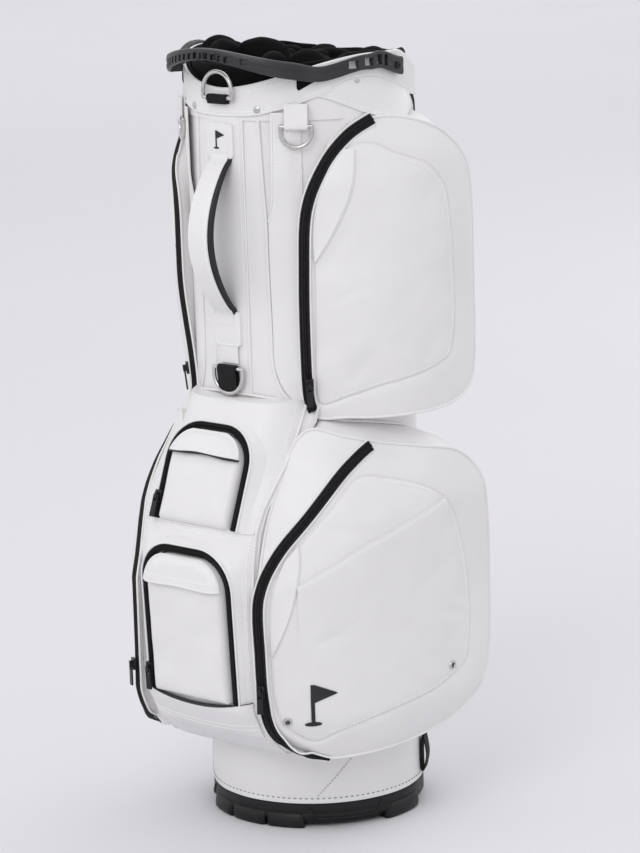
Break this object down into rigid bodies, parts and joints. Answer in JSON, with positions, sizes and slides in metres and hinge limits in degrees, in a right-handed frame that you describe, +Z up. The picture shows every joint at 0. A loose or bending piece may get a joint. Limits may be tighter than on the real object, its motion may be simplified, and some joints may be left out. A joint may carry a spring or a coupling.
{
  "type": "golf staff bag",
  "caption": "Free-standing golf bag: padded tube with divided club wells, zipped side and front pockets, hoop and grab handles, and a moulded base",
  "frame": {"origin": "middle of the base's resting face, on the axis of the tube", "axes": "+Z up along the tube, -Y towards the spine with the grab handle, +X towards the right side pockets"},
  "size_m": [0.4002, 0.3668, 0.937],
  "materials": {
    "white_leather": "satin synthetic leather with a fine grain",
    "base_plastic": "matte moulded",
    "handle_plastic": "satin moulded",
    "liner_plastic": "matte sheet",
    "foam": "matte foam",
    "velour": "short pile",
    "sleeve_fabric": "woven lining",
    "webbing": "woven webbing",
    "zipper": "coated woven tape with a moulded coil",
    "zip_metal": "black lacquer",
    "nickel": "brushed nickel plate"
  },
  "bodies": {
    "bag": {"base_moulding": "base_plastic", "base_pad": "foam", "tube_liner": "liner_plastic", "body_skin": "white_leather", "hem_band": "white_leather", "spine_panel": "white_leather", "rear_panel": "white_leather", "rear_zippers": "zipper", "collar_band": "white_leather", "collar_lining": "velour", "divider_ring": "base_plastic", "divider_bars": "velour", "divider_sleeves": "sleeve_fabric", "hoop_handle": "handle_plastic", "hoop_screws": "nickel", "handle_top_patch": "white_leather", "handle_grip": "white_leather", "handle_bottom_patch": "white_leather", "top_ring_keeper": "webbing", "low_ring_keeper": "webbing", "towel_tab_right": "white_leather", "towel_tab_left": "white_leather", "collar_rivets": "nickel", "slip_pocket_right": "white_leather", "slip_pocket_left": "white_leather", "upper_pocket_right": "white_leather", "upper_zipper_right": "zipper", "upper_pocket_left": "white_leather", "upper_zipper_left": "zipper", "lower_pocket_right": "white_leather", "lower_zipper_right": "zipper", "lower_pocket_left": "white_leather", "lower_zipper_left": "zipper", "front_block": "white_leather", "cooler_zipper": "zipper", "valuables_zipper": "zipper", "kangaroo_band": "white_leather", "pocket_eyelets": "nickel", "webbing_loop_right": "webbing", "webbing_loop_left": "webbing"},
    "top_ring": {"top_ring": "nickel"},
    "low_ring": {"low_ring": "nickel"},
    "towel_ring_right": {"towel_ring_right": "nickel"},
    "towel_ring_left": {"towel_ring_left": "nickel"},
    "cooler_door": {"cooler_door": "white_leather"},
    "valuables_door": {"valuables_door": "white_leather"},
    "upper_slider_right": {"upper_slider_right": "zip_metal"},
    "upper_slider_left": {"upper_slider_left": "zip_metal"},
    "lower_slider_right": {"lower_slider_right": "zip_metal"},
    "lower_slider_left": {"lower_slider_left": "zip_metal"},
    "cooler_slider": {"cooler_slider": "zip_metal"},
    "valuables_slider": {"valuables_slider": "zip_metal"},
    "upper_pull_right": {"upper_pull_right": "zip_metal"},
    "upper_pull_left": {"upper_pull_left": "zip_metal"},
    "lower_pull_right": {"lower_pull_right": "zip_metal"},
    "lower_pull_left": {"lower_pull_left": "zip_metal"},
    "cooler_pull": {"cooler_pull": "zip_metal"},
    "valuables_pull": {"valuables_pull": "zip_metal"}
  },
  "joints": [
    {"name": "top_ring_swing", "type": "hinge", "parent": "bag", "child": "top_ring", "pos_m": [0, -0.1411, 0.878], "axis": [1, 0, 0], "range_deg": [0, 165]},
    {"name": "low_ring_swing", "type": "hinge", "parent": "bag", "child": "low_ring", "pos_m": [0, -0.1388, 0.56], "axis": [-1, 0, 0], "range_deg": [0, 110]},
    {"name": "towel_ring_right_swing", "type": "hinge", "parent": "bag", "child": "towel_ring_right", "pos_m": [0.0907, -0.10809, 0.846], "axis": [-0.766, -0.6428, 0], "range_deg": [0, 100]},
    {"name": "towel_ring_left_swing", "type": "hinge", "parent": "bag", "child": "towel_ring_left", "pos_m": [-0.0907, -0.10809, 0.846], "axis": [-0.766, 0.6428, 0], "range_deg": [0, 100]},
    {"name": "upper_slider_right_run", "type": "slide", "parent": "bag", "child": "upper_slider_right", "axis": [0.0738, -0.0791, 0.9941], "range_m": [0, 0.1]},
    {"name": "upper_pull_right_swing", "type": "hinge", "parent": "upper_slider_right", "child": "upper_pull_right", "pos_m": [0.10082, -0.10812, 0.54441], "axis": [-0.7314, -0.682, 0], "range_deg": [0, 110]},
    {"name": "lower_slider_right_run", "type": "slide", "parent": "bag", "child": "lower_slider_right", "axis": [0, 0, 1], "range_m": [0, 0.09]},
    {"name": "lower_pull_right_swing", "type": "hinge", "parent": "lower_slider_right", "child": "lower_pull_right", "pos_m": [0.10472, -0.2147, 0.2], "axis": [-0.8988, -0.4384, 0], "range_deg": [0, 110]},
    {"name": "upper_slider_left_run", "type": "slide", "parent": "bag", "child": "upper_slider_left", "axis": [-0.0738, -0.0791, 0.9941], "range_m": [0, 0.1]},
    {"name": "upper_pull_left_swing", "type": "hinge", "parent": "upper_slider_left", "child": "upper_pull_left", "pos_m": [-0.10082, -0.10812, 0.54441], "axis": [-0.7314, 0.682, 0], "range_deg": [0, 110]},
    {"name": "lower_slider_left_run", "type": "slide", "parent": "bag", "child": "lower_slider_left", "axis": [0, 0, 1], "range_m": [0, 0.09]},
    {"name": "lower_pull_left_swing", "type": "hinge", "parent": "lower_slider_left", "child": "lower_pull_left", "pos_m": [-0.10472, -0.2147, 0.2], "axis": [-0.8988, 0.4384, 0], "range_deg": [0, 110]},
    {"name": "cooler_door_fold", "type": "hinge", "parent": "bag", "child": "cooler_door", "pos_m": [0, -0.20994, 0.3865], "axis": [1, 0, 0], "range_deg": [0, 80]},
    {"name": "cooler_slider_run", "type": "slide", "parent": "bag", "child": "cooler_slider", "axis": [0, 0.3521, 0.936], "range_m": [0, 0.045]},
    {"name": "cooler_pull_swing", "type": "hinge", "parent": "cooler_slider", "child": "cooler_pull", "pos_m": [-0.061, -0.20474, 0.41168], "axis": [-1, 0, 0], "range_deg": [0, 110]},
    {"name": "valuables_door_fold", "type": "hinge", "parent": "bag", "child": "valuables_door", "pos_m": [0, -0.21982, 0.17832], "axis": [1, 0, 0], "range_deg": [0, 80]},
    {"name": "valuables_slider_run", "type": "slide", "parent": "bag", "child": "valuables_slider", "axis": [0, -0.0511, 0.9987], "range_m": [0, 0.1]},
    {"name": "valuables_pull_swing", "type": "hinge", "parent": "valuables_slider", "child": "valuables_pull", "pos_m": [-0.066, -0.22512, 0.20348], "axis": [-1, 0, 0], "range_deg": [0, 110]}
  ]
}
